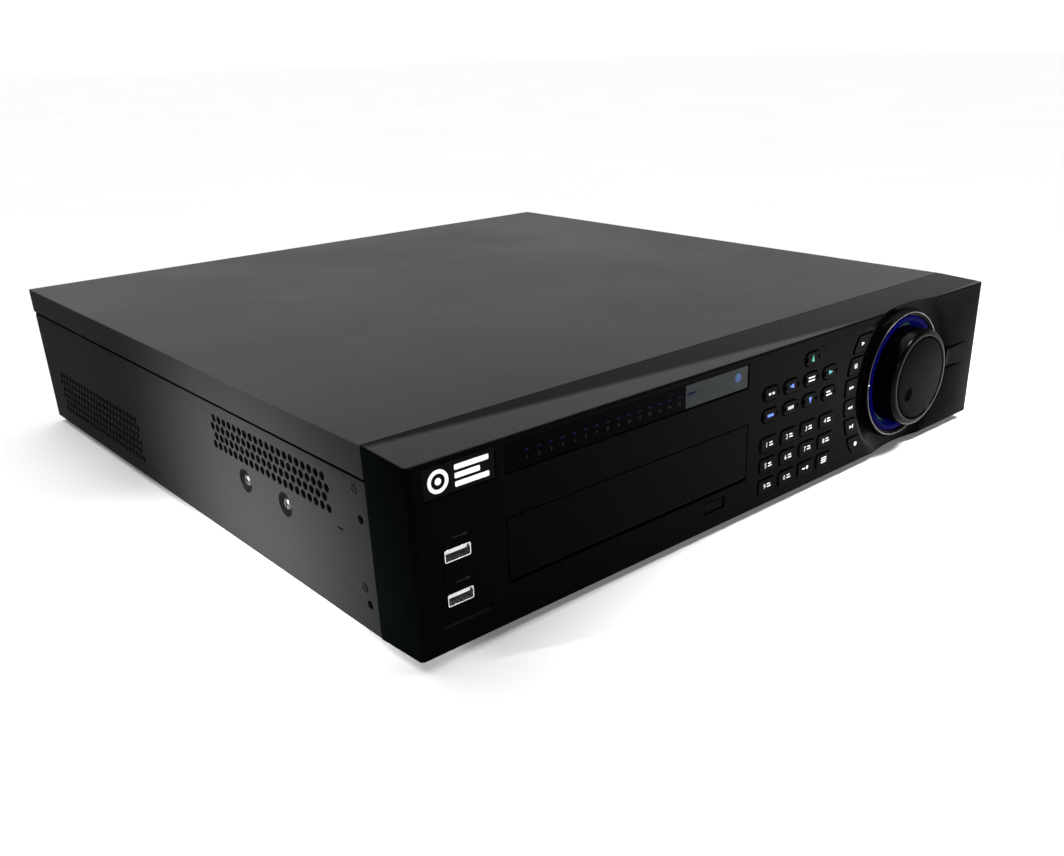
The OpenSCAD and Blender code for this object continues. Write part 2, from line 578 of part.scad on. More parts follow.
// Bundles squared to the case: a ribbon over the drives, and the drives' power leads
module wiring_loom() color([0.1, 0.1, 0.1]) union() {
    case_box(20, -bezel_d + board_d + board_t, 73, 20, 315.4, 1.6);
    case_box(20, 294.4, 19, 20, 1.6, 55);
    case_box(-180, 256.2, 68, 346, 6, 3);
    case_box(-180, 256.2, 42.5, 10, 7.8, 27);
    for (x = drive_columns) {
        case_box(x - 4, 256.2, 10, 8, 3.8, 59);
        for (z = drive_floors) case_box(x - 12, 253.6, z + 4, 24, 4, 6);
    }
}

module mains_inlet() color([0.07, 0.07, 0.08]) {
    difference() {
        union() {
            rear_box(mains_place[0], mains_place[1], 31, 24, 0, 2.5);
            rear_box(mains_place[0], mains_place[1], 27, 19.8, -20, 1);
        }
        translate([mains_place[0], rear_y, base_z + mains_place[1]]) slab(-16, 4)
            polygon([[-12, -8], [12, -8], [12, 4.5], [8.5, 8], [-8.5, 8], [-12, 4.5]]);
    }
    for (p = [[-7, -1.5], [0, 3], [7, -1.5]])
        rear_box(mains_place[0] + p[0], mains_place[1] + p[1], 2, 4, -16.5, -1.5);
    difference() {
        union() {
            rear_box(rocker_place[0], rocker_place[1], 15.6, 22, 0, 2);
            rear_box(rocker_place[0], rocker_place[1], 13, 19, -16, 1);
        }
        rear_box(rocker_place[0], rocker_place[1], 11, 17, -13, 3);
        translate([rocker_place[0], rear_y - 2.5, base_z + rocker_place[1]]) rotate([0, 90, 0])
            cylinder(r = 1.2 + running_gap, h = 12.6, center = true, $fn = 48);
    }
}

// Rocker: two faces that meet in a shallow V over the pivot, drawn in its off position
module power_rocker() color([0.08, 0.08, 0.08])
    translate([rocker_place[0], rear_y - 2.5, base_z + rocker_place[1]]) rotate([rocker_tilt, 0, 0])
        union() {
            translate([-5.1, 0, 0]) rotate([90, 0, 90]) linear_extrude(10.2)
                polygon([[3.2, 7.6], [2.6, 0], [3.2, -7.6], [-0.5, -7.4], [-3, -3], [-3, 3], [-0.5, 7.4]]);
            rotate([0, 90, 0]) cylinder(r = 1.2, h = 12, center = true, $fn = 48);
        }

// Frame with a hub on struts inside the case, and a wire guard outside it
module fan_frame() union() {
    difference() {
        slab(-fan_depth - steel_t, -steel_t) polygon(round_rect(fan_size, fan_size, 4));
        rotate([-90, 0, 0]) translate([0, 0, -fan_depth - 3]) cylinder(r = fan_bore_r, h = fan_depth + 4, $fn = 96);
        for (dx = [-25, 25]) for (dz = [-25, 25]) translate([dx, 0, dz]) rotate([90, 0, 0])
            cylinder(r = 1.4, h = fan_depth + 3, $fn = 24);
    }
    difference() {
        union() {
            for (a = [45:90:315]) rotate([0, a, 0]) translate([8, -fan_depth - steel_t, -1.5]) cube([21.5, 3, 3]);
            rotate([90, 0, 0]) translate([0, 0, fan_depth + steel_t - 3]) cylinder(r = 13, h = 3, $fn = 64);
        }
        rotate([90, 0, 0]) translate([0, 0, 1]) cylinder(r = 2 + running_gap, h = fan_depth + 3, $fn = 48);
    }
}

module fan_guard() union() {
    for (r = [8, 14, 20, 26]) rotate([-90, 0, 0]) difference() {
        translate([0, 0, 0.9]) cylinder(r = r + 0.7, h = 1.3, $fn = 96);
        cylinder(r = r - 0.7, h = 3, $fn = 96);
    }
    for (a = [45:90:315]) rotate([0, a, 0]) translate([7.6, 0.2, -0.7]) cube([26.2, 1.3, 1.4]);
    for (dx = [-25, 25]) for (dz = [-25, 25]) translate([dx, 0, dz]) rotate([-90, 0, 0])
        cylinder(r = 3.2, h = 2.4, $fn = 32);
}

module fan_frames() color([0.08, 0.08, 0.09])
    for (p = fan_centres) translate([p[0], rear_y, base_z + p[1]]) {
        fan_frame();
        fan_guard();
    }

// Hub with seven slanted blades, and a shaft that runs in the frame's hub
module fan_rotor(centre) color([0.1, 0.1, 0.1])
    translate([centre[0], rear_y - steel_t - 2, base_z + centre[1]]) rotate([90, 0, 0]) union() {
        cylinder(r = 14, h = 17, $fn = 64);
        cylinder(r = 2, h = 22, $fn = 32);
        intersection() {
            cylinder(r = fan_bore_r - 1, h = 18, $fn = 96);
            for (i = [0:6]) rotate([0, 0, i * 360 / 7]) translate([21, 0, 8.5]) rotate([38, 0, 0])
                cube([18, 1.4, 18], center = true);
        }
    }

module fan_rotor_left() fan_rotor(fan_centres[0]);

module fan_rotor_right() fan_rotor(fan_centres[1]);

// Bayonet sockets: hollow barrel with two lugs, flange on the panel and a body inside
module video_sockets() color([0.8, 0.8, 0.82])
    for (p = video_places) translate([p[0], rear_y, base_z + p[1]]) union() {
        rotate([-90, 0, 0]) rotate_extrude($fn = 64) polygon([
            [0.5, -12], [5, -12], [5, 0], [7, 0], [7, 1.8], [4.8, 1.8], [4.8, socket_proud - 0.3],
            [4.5, socket_proud], [4.05, socket_proud], [4.05, 3], [2.4, 3], [2.4, 8], [0.5, 8]]);
        for (side = [-1, 1]) translate([0, 6.8, side * 5.2])
            cylinder(r = 0.95, h = 1.6, center = true, $fn = 24);
    }

// Shielded socket: a shell from 9 mm inside the panel to its mouth, a block behind and a tongue
module shell_port(w, h, depth, proud, tongue_z) translate([0, rear_y, 0]) union() {
    translate([0, -9, 0]) usb_shell(w, h, 9 + proud);
    translate([-w / 2, -depth, -h / 2]) cube([w, depth - 9, h]);
    translate([1.2 - w / 2, -9.5, tongue_z]) cube([w - 2.4, 9, h * 0.28]);
}

// Board-mounted sockets: network, USB, digital video, analogue video and audio
module rear_ports() color([0.72, 0.72, 0.74]) {
    for (p = network_places) difference() {
        rear_box(p[0], p[1], 16, 13.4, -18, 1.5);
        rear_box(p[0], p[1] - 0.6, 11.8, 8, -11, 3);
        rear_box(p[0], p[1] + 4.2, 6.4, 2.4, -11, 3);
    }
    for (p = rear_usb_places) translate([p[0], 0, base_z + p[1]]) shell_port(13.2, 5.8, 16, 1.5, 0.4);
    translate([17, 0, base_z + 40]) shell_port(15, 5.6, 12, 1.2, -0.8);
    translate([44, rear_y, base_z + 40]) union() {
        slab(0, 1) polygon(round_rect(31, 12.4, 1.5));
        slab(-8, 6) polygon([[-8.4, 4.2], [-7.4, -4.2], [7.4, -4.2], [8.4, 4.2]]);
        for (side = [-1, 1]) rotate([-90, 0, 0]) translate([side * 12.5, 0, 0.5])
            cylinder(r = 2.6, h = 5, $fn = 6);
    }
    for (p = audio_places) translate([p[0], rear_y, base_z + p[1]]) rotate([-90, 0, 0])
        rotate_extrude($fn = 48) polygon([[1.6, -10], [5, -10], [5, 0], [6.4, 0], [6.4, 1.2],
            [4.1, 1.2], [4.1, 8.5], [3.4, 8.5], [3.4, 1.5], [1.6, 1.5]]);
}

// Two rows of pluggable alarm terminals with a wire hole and a screw slot at each place
module terminal_block() color([0.1, 0.5, 0.25]) for (z = terminal_rows) difference() {
    rear_box(33, z, 50.4, 8.8, -8, 8);
    for (i = [0:12]) rear_box(33 + 3.8 * (i - 6), z - 1.6, 2.2, 2.6, 3, 9);
    for (i = [0:12]) translate([33 + 3.8 * (i - 6), rear_y + 4.5, base_z + z + 4.5])
        cylinder(r = 1.2, h = 1.6, center = true, $fn = 24);
}

// ---- Drawing ----

bezel();
badge_plate();
led_window();
ir_window();
light_ring();
front_usb_ports();
bay_door();
eject_key();
shuttle_ring();
jog_dial();
encoder_body();
front_board();
chassis_pan();
left_side_panel();
right_side_panel();
top_cover();
rubber_feet();
case_screws();
disc_writer();
drive_cage();
hard_drives();
main_board();
heat_sink();
power_supply();
wiring_loom();
mains_inlet();
power_rocker();
fan_frames();
fan_rotor_left();
fan_rotor_right();
video_sockets();
rear_ports();
terminal_block();
for (i = [0:8]) control_key(i);
for (i = [0:11]) number_key(i);
for (i = [0:5]) playback_key(i);
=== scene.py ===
"""Security video recorder: finishes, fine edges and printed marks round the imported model."""

import json
from math import radians

import bmesh
import bpy
import numpy as np
from mathutils import Matrix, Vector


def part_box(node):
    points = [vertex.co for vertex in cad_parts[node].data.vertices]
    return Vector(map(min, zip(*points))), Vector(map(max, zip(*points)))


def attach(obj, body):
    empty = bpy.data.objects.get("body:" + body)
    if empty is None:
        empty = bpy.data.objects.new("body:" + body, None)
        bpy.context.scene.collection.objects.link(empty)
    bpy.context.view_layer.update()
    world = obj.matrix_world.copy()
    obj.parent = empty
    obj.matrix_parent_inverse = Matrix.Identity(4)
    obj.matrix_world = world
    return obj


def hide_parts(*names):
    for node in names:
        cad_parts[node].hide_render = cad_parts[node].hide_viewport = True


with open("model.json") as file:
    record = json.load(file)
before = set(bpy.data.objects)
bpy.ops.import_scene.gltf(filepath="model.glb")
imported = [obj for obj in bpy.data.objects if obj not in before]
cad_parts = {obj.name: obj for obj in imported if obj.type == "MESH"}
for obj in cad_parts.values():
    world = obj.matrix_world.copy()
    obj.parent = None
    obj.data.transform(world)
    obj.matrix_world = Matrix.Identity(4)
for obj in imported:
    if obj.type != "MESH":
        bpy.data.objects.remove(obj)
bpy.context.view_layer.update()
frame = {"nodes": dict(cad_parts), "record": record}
nodes = frame["nodes"]
slot_of = {row["node"]: row["material_slot"] for row in frame["record"]["subparts"]}
body_of = {
    node: body
    for body, members in frame["record"]["behaviour"]["bodies"].items()
    for node in members
}

MM = 0.001
CAMERA_PLACE = (-0.41013, -0.53016, 0.23646)
CAMERA_HEADING = 41.7826  # degrees from +Y towards +X
CAMERA_DOWN = 23.7801  # degrees below the horizon
CAMERA_ROLL = -1.4253  # degrees about the line of sight
BEZEL_D = 31.0  # depth of the bezel
CASE_H = 89.2  # height of the case without its feet
FLANGE_H = 15.0  # how far the cover's flanges reach down
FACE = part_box("bezel")[0].y / MM  # the bezel's face, in millimetres along Y
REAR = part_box("top_cover")[1].y / MM - 1.0  # the rear wall's outer face
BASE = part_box("rubber_feet")[1].z / MM  # underside of the case
SIDE_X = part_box("right_side_panel")[1].x / MM  # outer face of the side panels
SEAM = FACE + BEZEL_D  # where the bezel meets the case
DIMPLES_Y, DIMPLES_Z = (SEAM + 75.5, SEAM + 115.8), BASE + 39.4
DIMPLE_R = 6.6  # reach of the painted shade in a dimple
DIAL_X = sum(corner.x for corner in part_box("jog_dial")) / 2 / MM
DIAL_Z = sum(corner.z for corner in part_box("jog_dial")) / 2 / MM


# ---- Camera, floor and lights ----


def place_camera():
    """A long lens a little above the recorder's left front corner, looking down on it."""
    camera = bpy.data.objects.new("camera", bpy.data.cameras.new("camera"))
    bpy.context.scene.collection.objects.link(camera)
    heading = Matrix.Rotation(-radians(CAMERA_HEADING), 4, "Z")
    tilt = Matrix.Rotation(radians(90.0 - CAMERA_DOWN), 4, "X")
    roll = Matrix.Rotation(radians(CAMERA_ROLL), 4, "Z")
    camera.matrix_world = Matrix.Translation(CAMERA_PLACE) @ heading @ tilt @ roll
    camera.data.sensor_width = 36.0
    camera.data.lens = 34.62
    camera.data.shift_x, camera.data.shift_y = -0.0367, 0.0624
    camera.data.clip_start, camera.data.clip_end = 0.01, 60.0
    bpy.context.scene.camera = camera


def area_light(name, place, target, size, watts, tint=(1.0, 1.0, 1.0)):
    """A soft rectangular light at place, turned so that it faces target."""
    lamp = bpy.data.lights.new(name, "AREA")
    lamp.shape, lamp.size, lamp.size_y = "RECTANGLE", size[0], size[1]
    lamp.energy, lamp.color = watts, tint
    away = np.array(place) - np.array(target)
    away /= np.linalg.norm(away)
    right = np.cross((0.0, 0.0, 1.0), away) if abs(away[2]) < 0.999 else np.array((1.0, 0.0, 0.0))
    right /= np.linalg.norm(right)
    pose = np.eye(4)
    pose[:3, 0], pose[:3, 1], pose[:3, 2] = right, np.cross(away, right), away
    pose[:3, 3] = place
    holder = bpy.data.objects.new(name, lamp)
    bpy.context.scene.collection.objects.link(holder)
    holder.matrix_world = Matrix(pose.tolist())
    return holder


def studio_floor():
    """A pale floor that runs off behind the recorder."""
    floor = bpy.data.meshes.new("floor")
    span = 14.0
    floor.from_pydata(
        [(-span, -span, 0.0), (span, -span, 0.0), (span, span, 0.0), (-span, span, 0.0)],
        [],
        [(0, 1, 2, 3)],
    )
    ground = bpy.data.objects.new("floor", floor)
    bpy.context.scene.collection.objects.link(ground)
    floor.materials.append(studio_paper())


def surround():
    """A surround that is white near the horizon and darkens towards the zenith."""
    world = bpy.data.worlds.new("surround")
    world.use_nodes = True
    tree = world.node_tree
    direction = tree.nodes.new("ShaderNodeTexCoord")
    height = tree.nodes.new("ShaderNodeSeparateXYZ")
    tree.links.new(direction.outputs["Generated"], height.inputs[0])
    ramp = tree.nodes.new("ShaderNodeValToRGB")
    tree.links.new(height.outputs["Z"], ramp.inputs["Fac"])
    for stop, at, grey in zip(ramp.color_ramp.elements, (0.14, 0.32), (1.0, 0.12)):
        stop.position, stop.color = at, (grey, grey, grey, 1.0)
    tree.links.new(ramp.outputs["Color"], tree.nodes["Background"].inputs["Color"])
    tree.nodes["Background"].inputs["Strength"].default_value = 1.3
    bpy.context.scene.world = world


def studio_lights():
    """A broad overhead light, and three soft boxes: low at the left side, in front, and over the
    floor before the dial."""
    sky = bpy.data.lights.new("overhead", "SUN")
    sky.energy, sky.angle = 3.0, radians(70.0)
    holder = bpy.data.objects.new("overhead", sky)
    bpy.context.scene.collection.objects.link(holder)
    holder.rotation_euler = (radians(-18.0), 0.0, 0.0)

    low = area_light("low_side_box", (-0.95, 0.1, 0.14), (-0.22, -0.085, 0.02), (0.1, 0.1), 0.9)
    low.data.spread = radians(19.0)
    area_light("front_left_box", (-1.1, -1.7, 1.0), (0.13, -0.25, 0.05), (0.12, 0.12), 12.0)
    fore = area_light("floor_box", (0.26, -0.62, 0.75), (0.24, -0.34, 0.0), (0.15, 0.15), 2.0)
    fore.data.spread = radians(60.0)
    bpy.context.scene.view_settings.view_transform = "Standard"


# ---- Finishes ----


def start(name, **sockets):
    """A new material with its shader's even values set; returns the material, its tree and shader."""
    material = bpy.data.materials.new(name)
    material.use_nodes = True
    tree = material.node_tree
    shader = tree.nodes["Principled BSDF"]
    for socket, value in sockets.items():
        shader.inputs[socket.replace("_", " ")].default_value = value
    return material, tree, shader


def pattern(tree, kind, scale, stretch=(1.0, 1.0, 1.0), output=0, **inputs):
    """A texture on Object coordinates, repeating about scale times a metre; returns its output."""
    place = tree.nodes.new("ShaderNodeTexCoord")
    mapping = tree.nodes.new("ShaderNodeMapping")
    mapping.inputs["Scale"].default_value = stretch
    texture = tree.nodes.new(kind)
    texture.inputs["Scale"].default_value = scale
    for socket, value in inputs.items():
        texture.inputs[socket.replace("_", " ")].default_value = value
    tree.links.new(place.outputs["Object"], mapping.inputs["Vector"])
    tree.links.new(mapping.outputs["Vector"], texture.inputs["Vector"])
    return texture.outputs[output]


def spread(tree, source, low, high, first=0.3, last=0.7):
    """The pattern's values from first to last become low to high."""
    ramp = tree.nodes.new("ShaderNodeMapRange")
    for socket, value in zip(("From Min", "From Max", "To Min", "To Max"), (first, last, low, high)):
        ramp.inputs[socket].default_value = value
    tree.links.new(source, ramp.inputs["Value"])
    return ramp.outputs["Result"]


def tinted(tree, source, dark, light, first=0.3, last=0.7):
    """The pattern turned into a blend of two colours."""
    ramp = tree.nodes.new("ShaderNodeValToRGB")
    ramp.color_ramp.elements[0].position, ramp.color_ramp.elements[1].position = first, last
    ramp.color_ramp.elements[0].color = (*dark, 1.0)
    ramp.color_ramp.elements[1].color = (*light, 1.0)
    tree.links.new(source, ramp.inputs["Fac"])
    return ramp.outputs["Color"]


def relief(tree, shader, source, depth_mm, strength=1.0, under=None):
    """The pattern as fine relief on the surface, over any relief already made."""
    bump = tree.nodes.new("ShaderNodeBump")
    bump.inputs["Strength"].default_value = strength
    bump.inputs["Distance"].default_value = depth_mm * MM
    tree.links.new(source, bump.inputs["Height"])
    if under is not None:
        tree.links.new(under, bump.inputs["Normal"])
    tree.links.new(bump.outputs["Normal"], shader.inputs["Normal"])
    return bump.outputs["Normal"]


def studio_paper():
    """Matt pale paper with a faint mottle."""
    material, tree, shader = start("studio_paper", Roughness=0.9, Specular_IOR_Level=0.05)
    cloud = pattern(tree, "ShaderNodeTexNoise", 3.0, Detail=4.0)
    tree.links.new(tinted(tree, cloud, (0.86, 0.86, 0.86), (0.88, 0.88, 0.88)), shader.inputs["Base Color"])
    return material


def powder_coat(name, colour, roughness, specular):
    """Charcoal powder coat: orange peel a millimetre across with finer grit on it."""
    material, tree, shader = start(name, Specular_IOR_Level=specular)
    peel = pattern(tree, "ShaderNodeTexNoise", 1100.0, Detail=2.0, Roughness=0.55)
    grit = pattern(tree, "ShaderNodeTexNoise", 5200.0, Detail=2.0)
    cloud = pattern(tree, "ShaderNodeTexNoise", 9.0, Detail=5.0, Roughness=0.6)
    darker, lighter = (tuple(c * k for c in colour) for k in (0.86, 1.14))
    tree.links.new(tinted(tree, grit, darker, lighter), shader.inputs["Base Color"])
    tree.links.new(spread(tree, cloud, roughness - 0.03, roughness + 0.04), shader.inputs["Roughness"])
    soft = relief(tree, shader, peel, 0.02, 0.35)
    relief(tree, shader, grit, 0.008, 0.3, soft)
    return material


def moulded(name, colour, roughness, specular=0.5, texture_mm=0.006, handled=0.05):
    """Moulded plastic: fine spark-eroded texture, and handling marks as a shift of gloss."""
    material, tree, shader = start(name, Specular_IOR_Level=specular)
    spark = pattern(tree, "ShaderNodeTexNoise", 3400.0, Detail=3.0, Roughness=0.6)
    marks = pattern(tree, "ShaderNodeTexNoise", 42.0, Detail=6.0, Roughness=0.65)
    darker, lighter = (tuple(c * k for c in colour) for k in (0.85, 1.15))
    tree.links.new(tinted(tree, marks, darker, lighter), shader.inputs["Base Color"])
    gloss = spread(tree, marks, roughness - handled, roughness + handled)
    tree.links.new(gloss, shader.inputs["Roughness"])
    relief(tree, shader, spark, texture_mm, 0.3)
    return material


def polished(name, colour, roughness=0.06, specular=0.5, glow=None, strength=0.0):
    """Clear or polished plastic with a faint flow waviness; glow lights it from behind."""
    material, tree, shader = start(name, Specular_IOR_Level=specular)
    flow = pattern(tree, "ShaderNodeTexNoise", 60.0, Detail=2.0)
    dust = pattern(tree, "ShaderNodeTexNoise", 900.0, Detail=4.0, Roughness=0.7)
    darker, lighter = (tuple(c * k for c in colour) for k in (0.9, 1.1))
    tree.links.new(tinted(tree, flow, darker, lighter), shader.inputs["Base Color"])
    tree.links.new(spread(tree, dust, roughness, roughness + 0.06, 0.45, 0.75), shader.inputs["Roughness"])
    relief(tree, shader, flow, 0.02, 0.1)
    if glow:
        shader.inputs["Emission Color"].default_value = (*glow, 1.0)
        shader.inputs["Emission Strength"].default_value = strength
    return material


def plated(name, colour, roughness, along=(1.0, 1.0, 1.0)):
    """Plated or drawn metal: fine lines along the drawing direction and a light tarnish."""
    material, tree, shader = start(name, Metallic=1.0)
    lines = pattern(tree, "ShaderNodeTexNoise", 1500.0, along, Detail=3.0)
    tarnish = pattern(tree, "ShaderNodeTexNoise", 130.0, Detail=5.0, Roughness=0.6)
    darker, lighter = (tuple(c * k for c in colour) for k in (0.82, 1.04))
    tree.links.new(tinted(tree, tarnish, darker, lighter), shader.inputs["Base Color"])
    tree.links.new(spread(tree, tarnish, roughness + 0.08, roughness - 0.03), shader.inputs["Roughness"])
    relief(tree, shader, lines, 0.004, 0.25)
    return material


def spangled(name, colour, roughness=0.38):
    """Zinc-coated sheet: crystals a few millimetres across, each with its own grey and gloss."""
    material, tree, shader = start(name, Metallic=1.0)
    crystal = pattern(tree, "ShaderNodeTexVoronoi", 230.0, output="Color", Randomness=1.0)
    darker, lighter = (tuple(c * k for c in colour) for k in (0.78, 1.05))
    tree.links.new(tinted(tree, crystal, darker, lighter, 0.1, 0.9), shader.inputs["Base Color"])
    gloss = spread(tree, crystal, roughness - 0.08, roughness + 0.1, 0.0, 1.0)
    tree.links.new(gloss, shader.inputs["Roughness"])
    relief(tree, shader, crystal, 0.004, 0.2)
    return material


def cast(name, colour):
    """Die-cast aluminium: pebbled skin with soft dull patches."""
    material, tree, shader = start(name, Metallic=1.0)
    skin = pattern(tree, "ShaderNodeTexNoise", 1400.0, Detail=3.0, Roughness=0.6)
    patch = pattern(tree, "ShaderNodeTexNoise", 55.0, Detail=4.0)
    darker, lighter = (tuple(c * k for c in colour) for k in (0.8, 1.05))
    tree.links.new(tinted(tree, patch, darker, lighter), shader.inputs["Base Color"])
    tree.links.new(spread(tree, patch, 0.38, 0.55), shader.inputs["Roughness"])
    relief(tree, shader, skin, 0.02, 0.35)
    return material


def solder_resist(name, colour):
    """Circuit board: tracks show as slightly raised, lighter paths under green resist."""
    material, tree, shader = start(name, Roughness=0.32)
    tracks = pattern(tree, "ShaderNodeTexBrick", 160.0, (1.0, 1.0, 1.0), output="Fac", Mortar_Size=0.06)
    lighter = tuple(c * 1.9 for c in colour)
    tree.links.new(tinted(tree, tracks, colour, lighter, 0.2, 0.8), shader.inputs["Base Color"])
    relief(tree, shader, tracks, 0.03, 0.5)
    return material


def vulcanised(name, colour):
    """Rubber: matt, with bloom and a pebbled skin."""
    material, tree, shader = start(name, Specular_IOR_Level=0.25)
    bloom = pattern(tree, "ShaderNodeTexNoise", 170.0, Detail=6.0, Roughness=0.7)
    pebble = pattern(tree, "ShaderNodeTexNoise", 2100.0, Detail=2.0)
    lighter = tuple(c * 1.5 + 0.004 for c in colour)
    tree.links.new(tinted(tree, bloom, colour, lighter), shader.inputs["Base Color"])
    tree.links.new(spread(tree, bloom, 0.62, 0.8), shader.inputs["Roughness"])
    relief(tree, shader, pebble, 0.02, 0.4)
    return material


def braided(name, colour):
    """Expandable sleeving: crossed strands a millimetre wide."""
    material, tree, shader = start(name, Roughness=0.55)
    strands = pattern(tree, "ShaderNodeTexChecker", 900.0, (1.0, 1.0, 1.0), output="Fac")
    lighter = tuple(c * 2.2 + 0.01 for c in colour)
    tree.links.new(tinted(tree, strands, colour, lighter, 0.0, 1.0), shader.inputs["Base Color"])
    relief(tree, shader, strands, 0.1, 0.6)
    return material


finishes = {
    "bezel_plastic": polished("satin_black_face", (0.0006, 0.0006, 0.0007), 0.22, 0.01),
    "badge_metal": moulded("badge_ground", (0.0016, 0.0016, 0.0018), 0.3, 0.02),
    "window_lens": polished("smoked_window", (0.0004, 0.0004, 0.0007), 0.08, 0.006),
    "receiver_lens": polished("receiver_filter", (0.0008, 0.0006, 0.0008), 0.12, 0.012),
    "light_guide": polished("lit_ring", (0.0006, 0.0006, 0.012), 0.2, 0.004, (0.012, 0.008, 1.0), 0.045),
    "plated_steel": plated("nickel_plate", (0.74, 0.74, 0.76), 0.2),
    "key_plastic": moulded("key_black", (0.0006, 0.0006, 0.0007), 0.26, 0.012),
    "dial_plastic": moulded("dial_black", (0.0006, 0.0006, 0.0007), 0.26, 0.006, 0.003),
    "encoder_case": moulded("encoder_grey", (0.05, 0.05, 0.055), 0.45),
    "circuit_board": solder_resist("green_resist", (0.012, 0.09, 0.045)),
    "charcoal_coat": powder_coat("charcoal_coat", (0.009, 0.0091, 0.0094), 0.42, 0.2),
    "foot_rubber": vulcanised("foot_rubber", (0.012, 0.012, 0.012)),
    "screw_steel": plated("blackened_screw", (0.06, 0.06, 0.063), 0.3),
    "drive_black": moulded("writer_black", (0.01, 0.01, 0.011), 0.4),
    "zinc_steel": spangled("zinc_sheet", (0.55, 0.56, 0.58)),
    "drive_casting": cast("drive_casting", (0.5, 0.51, 0.53)),
    "anodised": plated("clear_anodised", (0.68, 0.69, 0.7), 0.35, (1.0, 20.0, 1.0)),
    "psu_case": spangled("supply_case", (0.6, 0.61, 0.62), 0.32),
    "cable_sleeve": braided("cable_sleeve", (0.012, 0.012, 0.012)),
    "black_plastic": moulded("socket_black", (0.012, 0.012, 0.013), 0.42),
    "terminal_plastic": moulded("terminal_green", (0.012, 0.17, 0.06), 0.4),
}

# Finishes for one part of a node, or for a node whose coat differs from its slot's; the side, bezel top,
# bezel side and dimple finishes are lighter or darker copies of one coat: painted light and shade
# Painted shade: a darker copy of the charcoal coat with almost no sheen, for the side panels and the
# cover's upright faces
SHADED_SIDE_COAT = powder_coat("shaded_side_coat", (0.0085, 0.0086, 0.0089), 0.42, 0.003)
KNOB_EDGE = moulded("shuttle_black", (0.0004, 0.0004, 0.0005), 0.17, 0.035, 0.003, 0.03)
# Painted light: a lighter copy of the bezel's black for its upward faces
BEZEL_TOP_PAINTED_LIGHT = polished("bezel_top_painted_light", (0.002, 0.002, 0.0022), 0.3, 0.03)
# Painted light: a lighter, matt copy of the bezel's black for its end faces
BEZEL_SIDE_PAINTED_LIGHT = moulded("bezel_side_painted_light", (0.001, 0.0014, 0.0013), 0.4, 0.0)
# Painted shade: the inside of each side dimple darker than the coat round it
DIMPLE_PAINTED_SHADE = powder_coat("dimple_painted_shade", (0.002, 0.002, 0.002), 0.4, 0.02)
SCREW_BLACK = moulded("black_oxide", (0.002, 0.002, 0.002), 0.4, 0.02)
OWN_OR_SHADED_FINISH = {
    "left_side_panel": SHADED_SIDE_COAT, "right_side_panel": SHADED_SIDE_COAT, "shuttle_ring": KNOB_EDGE,
}


# ---- Making pieces ----


def add_piece(name, mesh, body, slot_name, finish=None, smooth_deg=35.0):
    """Links a finished mesh as one piece of the object that rides on a CAD body."""
    piece = bpy.data.objects.new(name, mesh)
    bpy.context.scene.collection.objects.link(piece)
    mesh.materials.clear()
    mesh.materials.append(finish or finishes[slot_name])
    mesh.shade_smooth()
    mesh.set_sharp_from_angle(angle=radians(smooth_deg))
    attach(piece, body)
    return piece


def eased(piece, width_mm, segments=2, angle_deg=32.0):
    """Rounds the piece's sharp edges by width_mm."""
    bevel = piece.modifiers.new("eased_edges", "BEVEL")
    bevel.width, bevel.segments = width_mm * MM, segments
    bevel.limit_method, bevel.angle_limit = "ANGLE", radians(angle_deg)
    bevel.use_clamp_overlap, bevel.harden_normals = False, True
    return piece


def dressed(node, width_mm, segments=2, finish=None, smooth_deg=35.0):
    """The node's own shape with its loose triangles joined and its edges eased by width_mm; it
    stands for the node. The cover's large flat faces are made whole first."""
    mesh = nodes[node].data.copy()
    shape = bmesh.new()
    shape.from_mesh(mesh)
    bmesh.ops.remove_doubles(shape, verts=shape.verts, dist=2e-6)
    if node == "top_cover":
        bmesh.ops.dissolve_limit(shape, angle_limit=radians(0.4), verts=shape.verts, edges=shape.edges)
    shape.to_mesh(mesh)
    shape.free()
    for layer in list(mesh.attributes):
        if layer.name == "custom_normal":
            mesh.attributes.remove(layer)
    piece = add_piece(node + "_dressed", mesh, body_of[node], slot_of[node], finish, smooth_deg)
    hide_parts(node)
    if width_mm:
        eased(piece, width_mm, segments)
    return piece


def refinish(piece, finish, chosen):
    """Gives some faces of a piece a finish of their own: chosen takes the faces' centres in
    millimetres and their normals, and says which."""
    faces = piece.data.polygons
    centres, normals = np.empty(len(faces) * 3), np.empty(len(faces) * 3)
    index = np.empty(len(faces), np.int32)
    faces.foreach_get("center", centres)
    faces.foreach_get("normal", normals)
    faces.foreach_get("material_index", index)
    index[chosen(centres.reshape(-1, 3).T / MM, normals.reshape(-1, 3).T)] = len(piece.data.materials)
    piece.data.materials.append(finish)
    faces.foreach_set("material_index", index)


def mesh_of(name, points_mm, faces):
    """A mesh from points in millimetres in the row frame."""
    mesh = bpy.data.meshes.new(name)
    mesh.from_pydata((np.asarray(points_mm, float) * MM).tolist(), [], [list(f) for f in faces])
    mesh.update()
    return mesh


def grid_faces(rows, columns, close_rows=False, close_columns=False):
    """Four-sided faces over a grid of points stored row by row; either way may close on itself."""
    i = np.arange(rows if close_rows else rows - 1)
    j = np.arange(columns if close_columns else columns - 1)
    i, j = (a.ravel() for a in np.meshgrid(i, j, indexing="ij"))
    ni, nj = (i + 1) % rows, (j + 1) % columns
    return np.stack([i * columns + j, ni * columns + j, ni * columns + nj, i * columns + nj], 1)


